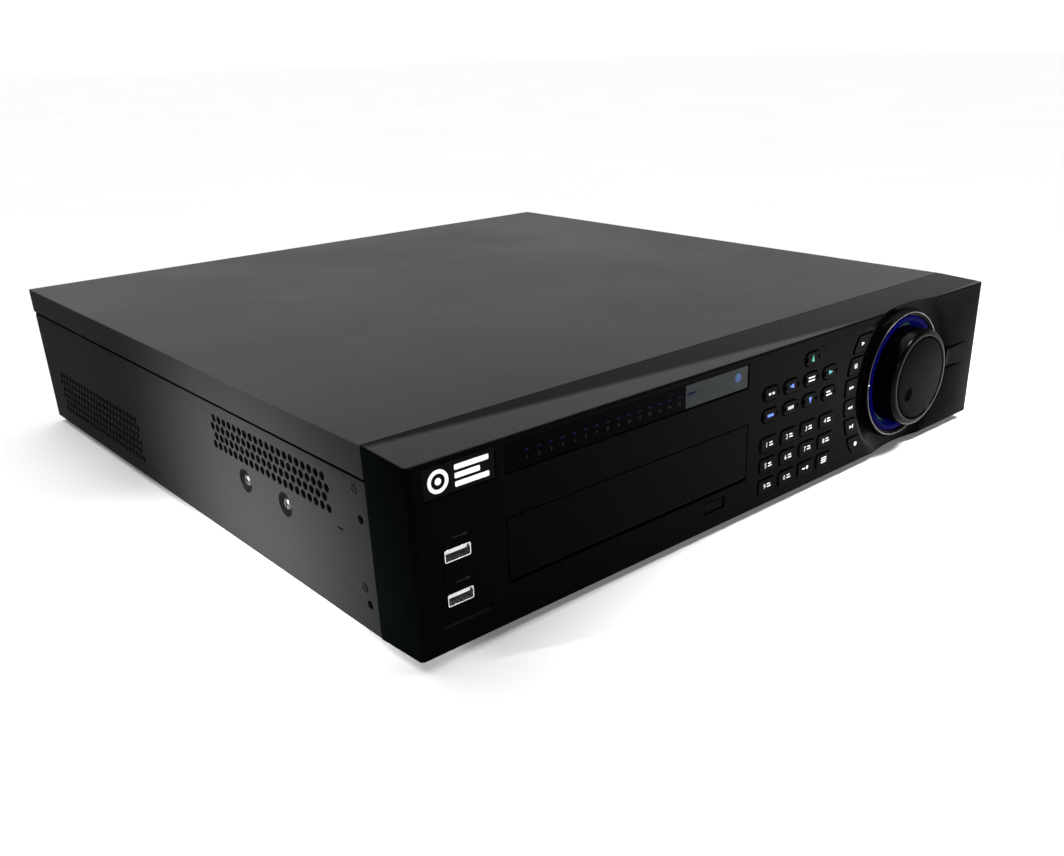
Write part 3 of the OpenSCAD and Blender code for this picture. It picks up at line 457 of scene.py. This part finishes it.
def turned(profile, centre, steps=96, closed=True):
    """A profile of (radius, depth) points turned about an axis along Y through centre.
    Point (r, d) at angle t goes to (cx + r cos t, cy + d, cz + r sin t)."""
    radius, depth = np.array(profile, float).T
    t = np.linspace(0.0, 2 * np.pi, steps, endpoint=False)[:, None]
    x = centre[0] + radius * np.cos(t)
    z = centre[2] + radius * np.sin(t)
    y = np.broadcast_to(centre[1] + depth, x.shape)
    points = np.stack([x, y, z], -1).reshape(-1, 3)
    return points, grid_faces(steps, len(profile), True, closed)


def joined(parts):
    """Several (points, faces) pairs as one pair."""
    points, faces, first = [], [], 0
    for part_points, part_faces in parts:
        points.append(np.asarray(part_points, float))
        faces += [[int(v) + first for v in face] for face in part_faces]
        first += len(part_points)
    return np.concatenate(points), faces


def outward(mesh):
    """Turns every face outwards on a closed mesh."""
    shape = bmesh.new()
    shape.from_mesh(mesh)
    bmesh.ops.remove_doubles(shape, verts=shape.verts, dist=1e-7)
    bmesh.ops.recalc_face_normals(shape, faces=shape.faces)
    shape.to_mesh(mesh)
    shape.free()
    return mesh


def slab(outline, front, back):
    """A flat outline of (x, z) points carried straight back from y = front to y = back, with
    both ends closed."""
    flat = np.array(outline, float)
    n = len(flat)
    points = np.concatenate(
        [np.column_stack([flat[:, 0], np.full(n, y), flat[:, 1]]) for y in (front, back)]
    )
    k = np.arange(n)
    sides = np.stack([k, k + n, (k + 1) % n + n, (k + 1) % n], 1).tolist()
    return points, sides + [list(range(n)), list(range(2 * n - 1, n - 1, -1))]


def box_outline(x, z, w, h):
    """A rectangle of width w and height h about (x, z)."""
    return [(x - w / 2, z - h / 2), (x + w / 2, z - h / 2), (x + w / 2, z + h / 2), (x - w / 2, z + h / 2)]


def round_outline(x, z, w, h, r, n=5):
    """A rectangle about (x, z) with corners of radius r."""
    t = np.radians(np.linspace(0.0, 90.0, n + 1))
    corners = [
        (x + sx * (w / 2 - r), z + sz * (h / 2 - r), a)
        for sx, sz, a in ((1, 1, 0.0), (-1, 1, 90.0), (-1, -1, 180.0), (1, -1, 270.0))
    ]
    return np.concatenate(
        [np.column_stack([cx + r * np.cos(t + np.radians(a)), cz + r * np.sin(t + np.radians(a))])
         for cx, cz, a in corners]
    )


def disc_outline(x, z, r, n=24):
    """A circle of radius r about (x, z), as n points."""
    t = np.linspace(0.0, 2 * np.pi, n, endpoint=False)
    return np.column_stack([x + r * np.cos(t), z + r * np.sin(t)])


def arrow_outline(x, z, size, turn_deg):
    """A triangle with its point at turn_deg from +X, anticlockwise seen from the front."""
    t = np.radians(turn_deg + np.array([0.0, 140.0, 220.0]))
    return np.column_stack([x + size * np.cos(t), z + size * np.sin(t)])


def ring_slab(x, z, outer, inner, front, back, n=40):
    """A flat ring about (x, z), from y = front to y = back."""
    profile = [(inner, front), (outer, front), (outer, back), (inner, back)]
    return turned(profile, (x, 0.0, z), n)


def printed(name, parts, body, slot_name, finish):
    """Several closed shapes as one piece of one finish, on one body: marks, contacts, linings."""
    points, faces = joined(parts)
    return add_piece(name, outward(mesh_of(name, points, faces)), body, slot_name, finish)


# ---- The recorder's own shapes, with eased edges ----

EASED_MM = {
    "bezel": 0.35, "bay_door": 0.3, "eject_key": 0.25, "shuttle_ring": 0.2, "jog_dial": 0.25,
    "light_ring": 0.2, "led_window": 0.15, "badge_plate": 0.15, "front_usb_ports": 0.1,
    "ir_window": 0.1, "top_cover": 0.3, "left_side_panel": 0.15, "right_side_panel": 0.15,
    "chassis_pan": 0.15, "rubber_feet": 0.4, "case_screws": 0.1, "mains_inlet": 0.3,
    "power_rocker": 0.3, "fan_frames": 0.2, "video_sockets": 0.12, "rear_ports": 0.12,
    "terminal_block": 0.15, "disc_writer": 0.3, "drive_cage": 0.15, "hard_drives": 0.4,
    "heat_sink": 0.15, "main_board": 0.1, "power_supply": 0.3, "encoder_body": 0.4,
    "wiring_loom": 0.4, "front_board": 0.1,
}
KEYS = [f"control_key_{i}" for i in range(1, 10)]
NUMBER_KEYS = [f"number_key_{i}" for i in range(1, 13)]
PLAYBACK_KEYS = [f"playback_key_{i}" for i in range(1, 7)]


def dress_everything():
    """Every node that shows with its edges eased, then the faces that have a finish of their own, or a
    lighter or darker copy of one as painted light and shade.
    """
    made = {node: dressed(node, width, finish=OWN_OR_SHADED_FINISH.get(node)) for node, width in EASED_MM.items()}
    bezel_top_z, bezel_side_x = BASE + 80.0, 217.0
    front_screws_y = DIMPLES_Y[0] - 20.0
    # the cover's upright faces take the darker side copy: painted shade
    refinish(made["top_cover"], SHADED_SIDE_COAT, lambda at, facing: np.abs(facing[2]) < 0.5)
    # the bezel's upward faces take the lighter copy: painted light
    refinish(made["bezel"], BEZEL_TOP_PAINTED_LIGHT,
             lambda at, facing: (facing[2] > 0.6) & (at[2] > bezel_top_z))
    # the bezel's end faces take the lighter matt copy: painted light
    refinish(made["bezel"], BEZEL_SIDE_PAINTED_LIGHT,
             lambda at, facing: (np.abs(facing[0]) > 0.6) & (np.abs(at[0]) > bezel_side_x))
    refinish(made["case_screws"], SCREW_BLACK, lambda at, facing: at[1] < front_screws_y)
    # the inside of each dimple takes the darker coat: painted shade
    for side in ("left_side_panel", "right_side_panel"):
        for y in DIMPLES_Y:
            refinish(made[side], DIMPLE_PAINTED_SHADE, lambda at, facing: (np.abs(at[0]) < SIDE_X - 0.05)
                     & ((at[1] - y) ** 2 + (at[2] - DIMPLES_Z) ** 2 < DIMPLE_R**2))
    for key in KEYS + NUMBER_KEYS + PLAYBACK_KEYS:
        dressed(key, 0.35, 3)


# ---- Printed and lit marks on the front ----

INK = moulded("white_ink", (0.62, 0.63, 0.64), 0.45)
DIM_INK = moulded("grey_ink", (0.014, 0.015, 0.022), 0.5, 0.05)
SILVER = plated("silver_badge", (0.78, 0.78, 0.8), 0.28)
LIT_BLUE = polished("lit_blue", (0.02, 0.06, 0.3), 0.3, 0.4, (0.06, 0.22, 1.0), 0.55)
LIT_TEAL = polished("lit_teal", (0.01, 0.12, 0.14), 0.3, 0.4, (0.03, 0.62, 0.6), 0.45)
LIT_GREEN = polished("lit_green", (0.01, 0.14, 0.08), 0.3, 0.4, (0.04, 0.7, 0.4), 0.4)
STRIP_GREY = polished("status_strip", (0.008, 0.0105, 0.0115), 0.2, 0.06)
LIT_BLUE_DIM = polished("lit_blue_dim", (0.001, 0.0012, 0.01), 0.3, 0.02, (0.05, 0.08, 0.8), 0.02)
RIM = plated("dial_rim_silver", (0.14, 0.14, 0.15), 0.22)
GOLD = plated("gold_contact", (0.75, 0.52, 0.2), 0.25)
BRASS_PIN = plated("bright_pin", (0.72, 0.66, 0.48), 0.3)
TONGUE = moulded("socket_white", (0.72, 0.73, 0.75), 0.4)
POWER_BLUE = polished("power_blue", (0.01, 0.03, 0.08), 0.3, 0.1, (0.1, 0.3, 1.0), 0.12)
# Near-black matt for the strips of painted shadow under edges, and for the filters behind the vents
SHADOW_STRIP_AND_FILTER_BLACK = moulded("shadow_strip_and_filter_black", (0.0003, 0.0003, 0.0003), 0.9, 0.0)
MARK_MM = 0.04  # how far a printed mark stands off its surface


def face_of(node):
    """Centre (x, z), front y and size (width, height) of a node, in millimetres."""
    low, high = (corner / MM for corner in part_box(node))
    return (low.x + high.x) / 2, (low.z + high.z) / 2, low.y, high.x - low.x, high.z - low.z


def digits(number, x, z, height, front, thickness=MARK_MM):
    """The number's digits, set upright facing -Y, centred on (x, z): letter-plane points (u, v)
    go to (x + u, z + v)."""
    writing = bpy.data.curves.new("digits", "FONT")
    writing.body, writing.size = str(number), 1.0
    writing.extrude, writing.resolution_u = 0.5, 2
    holder = bpy.data.objects.new("digits", writing)
    bpy.context.scene.collection.objects.link(holder)
    bpy.context.view_layer.update()
    mesh = bpy.data.meshes.new_from_object(holder.evaluated_get(bpy.context.evaluated_depsgraph_get()))
    flat = np.empty(len(mesh.vertices) * 3)
    mesh.vertices.foreach_get("co", flat)
    flat = flat.reshape(-1, 3)
    faces = [list(face.vertices) for face in mesh.polygons]
    low, high = flat.min(0), flat.max(0)
    scale = height / (high[1] - low[1])
    middle = (low + high) / 2
    points = np.column_stack(
        [x + (flat[:, 0] - middle[0]) * scale,
         front - thickness * (flat[:, 2] + 0.5) + thickness * 0.25,
         z + (flat[:, 1] - middle[1]) * scale]
    )
    bpy.data.objects.remove(holder)
    bpy.data.meshes.remove(mesh)
    return points, faces


def mark(outline, front):
    """A printed outline standing MARK_MM off a surface at y = front."""
    return slab(outline, front - MARK_MM, front + 0.01)


def key_marks():
    """White or lit signs on the keys: arrows, a ring to confirm, bars, and numbers one to nine."""
    signs = [
        (LIT_GREEN, lambda x, z: [arrow_outline(x, z, 2.0, 90)]),
        (INK, lambda x, z: [box_outline(x - 1.5, z, 1.8, 1.2), box_outline(x + 1.5, z, 1.8, 1.2)]),
        (LIT_BLUE, lambda x, z: [arrow_outline(x, z, 2.0, 180)]),
        (INK, lambda x, z: [box_outline(x, z + 0.9, 5.6, 0.8), box_outline(x, z - 0.9, 5.6, 0.8)]),
        (LIT_TEAL, lambda x, z: [arrow_outline(x, z, 2.0, 0)]),
        (LIT_BLUE, lambda x, z: [box_outline(x, z, 5.0, 1.5)]),
        (INK, lambda x, z: [box_outline(x - 1.8, z, 1.0, 1.7), box_outline(x, z, 1.0, 1.7),
                            box_outline(x + 1.8, z, 1.0, 1.7)]),
        (LIT_BLUE, lambda x, z: [arrow_outline(x, z, 2.0, 270)]),
        (INK, lambda x, z: [box_outline(x - 0.8, z + 0.9, 3.6, 0.8), box_outline(x, z - 0.9, 5.2, 0.8)]),
    ]
    for key, (finish, sign) in zip(KEYS, signs):
        x, z, front, _, _ = face_of(key)
        parts = [mark(outline, front) for outline in sign(x, z)]
        printed(key + "_mark", parts, body_of[key], "key_plastic", finish)
    for i, key in enumerate(NUMBER_KEYS):
        x, z, front, _, _ = face_of(key)
        if i < 10:
            parts = [digits((i + 1) % 10, x - 1.8, z, 2.7, front),
                     mark(box_outline(x + 1.9, z - 0.75, 3.2, 0.7), front),
                     mark(box_outline(x + 1.6, z + 0.75, 2.6, 0.7), front)]
        elif i == 10:
            parts = [mark(box_outline(x - 1.6, z, 2.4, 0.8), front),
                     mark(disc_outline(x + 1.6, z, 1.0), front)]
        else:
            parts = [mark(box_outline(x, z + dz, 5.0, 0.7), front) for dz in (-1.3, 0.0, 1.3)]
        printed(key + "_mark", parts, body_of[key], "key_plastic", INK)
    reach = 57.3  # from the dial's axis to the middle of the playback keys
    for i, key in enumerate(PLAYBACK_KEYS):
        _, z, front, _, _ = face_of(key)
        x = DIAL_X - np.sqrt(reach**2 - (z - DIAL_Z) ** 2)
        shapes = [
            [arrow_outline(x - 0.2, z, 1.7, 0)],
            [box_outline(x - 0.8, z, 0.8, 2.6), box_outline(x + 0.8, z, 0.8, 2.6)],
            [arrow_outline(x - 1.1, z, 1.4, 0), arrow_outline(x + 1.1, z, 1.4, 0)],
            [arrow_outline(x + 1.1, z, 1.4, 180), arrow_outline(x - 1.1, z, 1.4, 180)],
            [arrow_outline(x - 0.6, z, 1.5, 0), box_outline(x + 1.4, z, 0.7, 2.6)],
            [disc_outline(x, z, 1.4)],
        ][i]
        parts = [mark(outline, front) for outline in shapes]
        printed(key + "_mark", parts, body_of[key], "key_plastic", INK)


def badge_and_window_marks():
    """A plain lens-and-bars sign in silver, channel lights, and the grey status strip."""
    x, z, front, _, _ = face_of("badge_plate")
    left = x - 10.4
    parts = [ring_slab(left, z, 5.0, 3.3, front - 0.16, front + 0.02)]
    parts += [slab(disc_outline(left, z, 1.5), front - 0.16, front + 0.02)]
    for dz, length in ((3.6, 17.0), (0.0, 12.5), (-3.6, 17.0)):
        bar = round_outline(left + 8.0 + length / 2, z + dz, length, 2.3, 0.5)
        parts.append(slab(bar, front - 0.16, front + 0.02))
    printed("badge_sign", parts, "case", "badge_metal", SILVER)

    x, z, front, w, h = face_of("led_window")
    start_x = x - w / 2 + 1.2
    channels, pitch = 15, 6.7
    places = [start_x + 12.8 + pitch * i for i in range(channels)]
    lights = [mark(round_outline(place, z + 1.2, 2.3, 0.8, 0.35), front) for place in places]
    printed("channel_lights", lights, "case", "light_guide", LIT_BLUE_DIM)
    numbers = [digits(i + 1, place, z - 2.0, 1.7, front) for i, place in enumerate(places)]
    printed("channel_numbers", numbers, "case", "window_lens", DIM_INK)
    strip = [slab(round_outline(start_x + 134.3, z, 46.4, h - 3.0, 0.6), front - 0.03, front + 0.01)]
    printed("status_strip", strip, "case", "window_lens", STRIP_GREY)
    ahead = front - 0.03
    glow = [mark(box_outline(start_x + 115.2, z + 1.2, 6.0, 1.2), ahead)]
    printed("status_lights", glow, "case", "light_guide", LIT_BLUE_DIM)
    bright = [mark(disc_outline(start_x + 149.8, z + 1.0, 2.3), ahead)]
    printed("power_light", bright, "case", "light_guide", POWER_BLUE)
    faint = [mark(box_outline(start_x + dx, z + 1.2, 2.6, 0.8), ahead) for dx in (127.8, 138.8)]
    printed("status_marks", faint, "case", "window_lens", DIM_INK)


def usb_details():
    """Signs over the two front USB sockets, and the sockets' tongues and contacts."""
    x, z, _, _, _ = face_of("front_usb_ports")
    half_pitch = 10.1
    signs, tongues, gold = [], [], []
    for row in (z + half_pitch, z - half_pitch):
        signs.append(mark(arrow_outline(x + 4.0, row + 7.6, 1.2, 0), FACE))
        signs.append(mark(box_outline(x + 0.4, row + 7.6, 6.0, 0.35), FACE))
        tongues.append(slab(box_outline(x, row + 1.2, 11.1, 1.72), FACE + 1.55, FACE + 13.9))
        for k in range(4):
            contact = box_outline(x + 2.3 * (k - 1.5), row + 0.32, 1.1, 0.12)
            gold.append(slab(contact, FACE + 2.2, FACE + 12.5))
    printed("usb_signs", signs, "case", "bezel_plastic", DIM_INK)
    printed("usb_tongues", tongues, "case", "black_plastic", TONGUE)
    printed("usb_contacts", gold, "case", "plated_steel", GOLD)


def dial_trim():
    """The silver rim turned round the dial's dish, and the index mark on its left."""
    rim = [(37.0, 0.85), (37.0, 0.6), (37.15, 0.45), (37.45, 0.45), (37.6, 0.6), (37.6, 0.85)]
    points, faces = turned(rim, (DIAL_X, FACE, DIAL_Z), 160)
    add_piece("dial_rim", outward(mesh_of("dial_rim", points, faces)), "case", "plated_steel", RIM)
    index = slab(box_outline(DIAL_X - 37.2, DIAL_Z + 1.2, 1.2, 0.8), FACE + 0.38, FACE + 0.7)
    printed("dial_index", [index], "case", "bezel_plastic", INK)


def receiver_seal():
    """A black strip of painted shadow along the top and left of the receiver recess. Its top strip
    is a closed band over three stations along X, from the rail at the face to the recess's sloping floor."""
    low, high = (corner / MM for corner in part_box("ir_window"))
    run_out = 208.0  # where the recess's floor comes out flush with the face
    left, top, deep = low.x + 0.7, high.z - 0.3, FACE + 2.1
    slope = 2.2 / (run_out - high.x)
    rail = np.array([(left, FACE + 0.5), (high.x, FACE + 0.5), (run_out - 2.0, FACE + 0.08)])
    floor_line = np.array([(left, deep), (high.x, deep), (run_out - 2.0, FACE + 2.0 * slope)])
    upper, lower = np.full(3, top), top - np.array([2.2, 2.0, 0.9])
    band = np.concatenate([
        np.column_stack([line, z])
        for line, z in ((rail, upper), (rail, lower), (floor_line, lower), (floor_line, upper))
    ])
    band_faces = grid_faces(4, 3, close_rows=True).tolist() + [[0, 3, 6, 9], [2, 11, 8, 5]]
    post_outline = box_outline(left + 0.45, (low.z + top) / 2 - 0.6, 0.9, top - low.z - 2.4)
    post = slab(post_outline, FACE + 0.5, deep)
    # painted shadow under the recess's top and left edges
    printed("receiver_seal", [(band, band_faces), post], "case", "foot_rubber", SHADOW_STRIP_AND_FILTER_BLACK)


# ---- Back and fans ----


def impeller(name, node):
    """A fan's hub and seven curved blades. A blade's point at radius r and chord position c lies
    at angle c / r + sweep(r) and depth c * tan(pitch) + camber(c); the hub is turned."""
    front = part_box(node)[1].y / MM
    low, high = (np.array(corner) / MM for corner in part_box("fan_frames"))
    half = (high[2] - low[2]) / 2
    cx, cz = (low[0] + half if node == "fan_rotor_left" else high[0] - half), low[2] + half
    hub = [(0.0, 0.0), (12.6, 0.0), (13.6, -0.4), (14.0, -1.2), (14.0, -17.0), (11.0, -17.0),
           (11.0, -2.2), (2.0, -2.2), (2.0, -21.9), (0.0, -21.9)]
    parts = [turned(hub, (cx, front, cz), 72, closed=False)]
    r, c = np.meshgrid(np.linspace(13.6, 27.3, 9), np.linspace(-1.0, 1.0, 9), indexing="ij")
    half_chord = 7.0 + 0.22 * (r - 13.6)
    lean = 0.9 * ((r - 13.6) / 13.7) ** 2
    angle = c * half_chord / r + lean
    depth = -9.0 + c * (7.4 - 0.12 * (r - 13.6)) + 1.2 * (1.0 - c**2)
    for blade in range(7):
        turn = angle + blade * 2 * np.pi / 7
        x, z = cx + r * np.cos(turn), cz + r * np.sin(turn)
        skins = [np.stack([x, front + depth + side * 0.45, z], -1).reshape(-1, 3) for side in (1, -1)]
        rows, columns = r.shape
        quads = grid_faces(rows, columns)
        k = np.arange(rows * columns).reshape(rows, columns)
        edge = np.concatenate([k[0, :-1], k[:-1, -1], k[-1, :0:-1], k[:0:-1, 0]])
        n = rows * columns
        rim = np.stack([edge, np.roll(edge, -1), np.roll(edge, -1) + n, edge + n], 1)
        faces = quads.tolist() + (quads[:, ::-1] + n).tolist() + rim.tolist()
        parts.append((np.concatenate(skins), faces))
    points, faces = joined(parts)
    piece = add_piece(name, outward(mesh_of(name, points, faces)), body_of[node], "black_plastic")
    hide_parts(node)


def video_details():
    """Insulators, pins and plain numbers of the video sockets: two rows of eight inputs, and one
    output at the end of the upper row."""
    nut_r, pitch, row_gap = 7.0, 17.5, 28.0
    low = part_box("video_sockets")[0] / MM
    x0, z0 = low.x + nut_r, low.z + nut_r
    places = [(x0 + pitch * (i + 1), z0 + dz) for dz in (0.0, row_gap) for i in range(8)]
    places.append((x0, z0 + row_gap))
    sleeve = [(0.75, 3.05), (2.46, 3.05), (2.46, 8.1), (1.5, 8.35), (0.75, 8.35)]
    pin = [(0.0, 3.0), (0.62, 3.0), (0.62, 8.9), (0.0, 9.1)]
    sleeves = [turned(sleeve, (x, REAR, z), 28) for x, z in places]
    pins = [turned(pin, (x, REAR, z), 16, closed=False) for x, z in places]
    printed("video_insulators", sleeves, "case", "black_plastic", TONGUE)
    printed("video_pins", pins, "case", "plated_steel", BRASS_PIN)

    labels = []
    for i, (x, z) in enumerate(places[:16]):
        number, faces = digits(i + 1, -x, z + 10.6, 2.6, 0.0)
        number[:, 0] *= -1.0
        number[:, 1] = REAR + 0.01 + (number[:, 1] - number[:, 1].min())
        labels.append((number, faces))
    printed("video_numbers", labels, "case", "charcoal_coat", INK)


def mains_details():
    """The inlet's three blades, and the rocker's bar and ring, which lie on its tilted face."""
    inlet_x, _, _, _, _ = face_of("mains_inlet")
    mains_x, rocker_x, row = inlet_x - 11.15, inlet_x + 18.85, BASE + 23.0
    blades = [slab(box_outline(mains_x + dx, row + dz, 2.08, 4.08), REAR - 16.0, REAR - 1.42)
              for dx, dz in ((-7.0, -1.5), (0.0, 3.0), (7.0, -1.5))]
    printed("mains_pins", blades, "case", "plated_steel", BRASS_PIN)

    tilt = np.radians(12.0)
    strokes = [slab(box_outline(rocker_x, row + 4.4, 0.7, 3.2), 3.06, 3.2),
               ring_slab(rocker_x, row - 4.4, 1.8, 1.25, 3.06, 3.2, 28)]
    turned_strokes = []
    for points, faces in strokes:
        y, z = points[:, 1], points[:, 2] - row
        placed = points.copy()
        placed[:, 1] = REAR - 2.5 + y * np.cos(tilt) - z * np.sin(tilt)
        placed[:, 2] = row + y * np.sin(tilt) + z * np.cos(tilt)
        turned_strokes.append((placed, faces))
    printed("rocker_signs", turned_strokes, body_of["power_rocker"], "black_plastic", INK)


def network_details():
    """Eight spring contacts and a dark lining in each network socket."""
    wires, linings = [], []
    for x in (18.0, 36.0):
        z = BASE + 19.0
        for k in range(8):
            contact = box_outline(x + 1.02 * (k - 3.5), z + 3.0, 0.4, 0.5)
            wires.append(slab(contact, REAR - 10.5, REAR - 1.0))
        linings.append(slab(box_outline(x, z - 0.6, 11.7, 7.9), REAR - 11.1, REAR - 10.9))
    printed("network_contacts", wires, "case", "plated_steel", GOLD)
    printed("network_linings", linings, "case", "black_plastic", finishes["black_plastic"])


def side_details():
    """Black strips of painted shadow in the groove under the cover's flanges, and pleated filters
    behind the vents: a filter's x swings between two depths as it runs along Y."""
    flange_z = BASE + CASE_H - FLANGE_H
    # behind the seam, above the base, length and height of the filter behind each field of vents
    fields = ((29.0, 46.0, 126.0, 25.0), (253.0, 6.5, 150.0, 34.0))
    pleat, fold_depth = 3.0, 0.3
    for name, side in (("left", -1.0), ("right", 1.0)):
        # painted shadow: a black strip under each flange
        groove = box_outline(side * (SIDE_X - 0.55), flange_z - 0.97, 0.5, 1.85)
        flange_shadow = slab(groove, SEAM + 0.5, REAR - 0.5)
        printed(name + "_flange_shadow_strip", [flange_shadow], "case", "foot_rubber", SHADOW_STRIP_AND_FILTER_BLACK)
        filters = []
        for start_y, low_z, length, height in fields:
            y = SEAM + np.linspace(start_y, start_y + length, 2 * int(length / pleat) + 1)
            fold = fold_depth * (np.arange(len(y)) % 2)
            outline = np.concatenate(
                [np.column_stack([side * (SIDE_X - 1.5 - fold), y]),
                 np.column_stack([side * (SIDE_X - 1.9 - fold), y])[::-1]]
            )
            points, faces = slab(outline, BASE + low_z, BASE + low_z + height)
            filters.append((points[:, [0, 2, 1]], faces))
        printed(name + "_vent_filters", filters, "case", "foot_rubber", SHADOW_STRIP_AND_FILTER_BLACK)


# ---- Putting it together ----

place_camera()
studio_floor()
surround()
studio_lights()
dress_everything()
key_marks()
badge_and_window_marks()
usb_details()
dial_trim()
receiver_seal()
impeller("fan_impeller_left", "fan_rotor_left")
impeller("fan_impeller_right", "fan_rotor_right")
video_details()
mains_details()
network_details()
side_details()
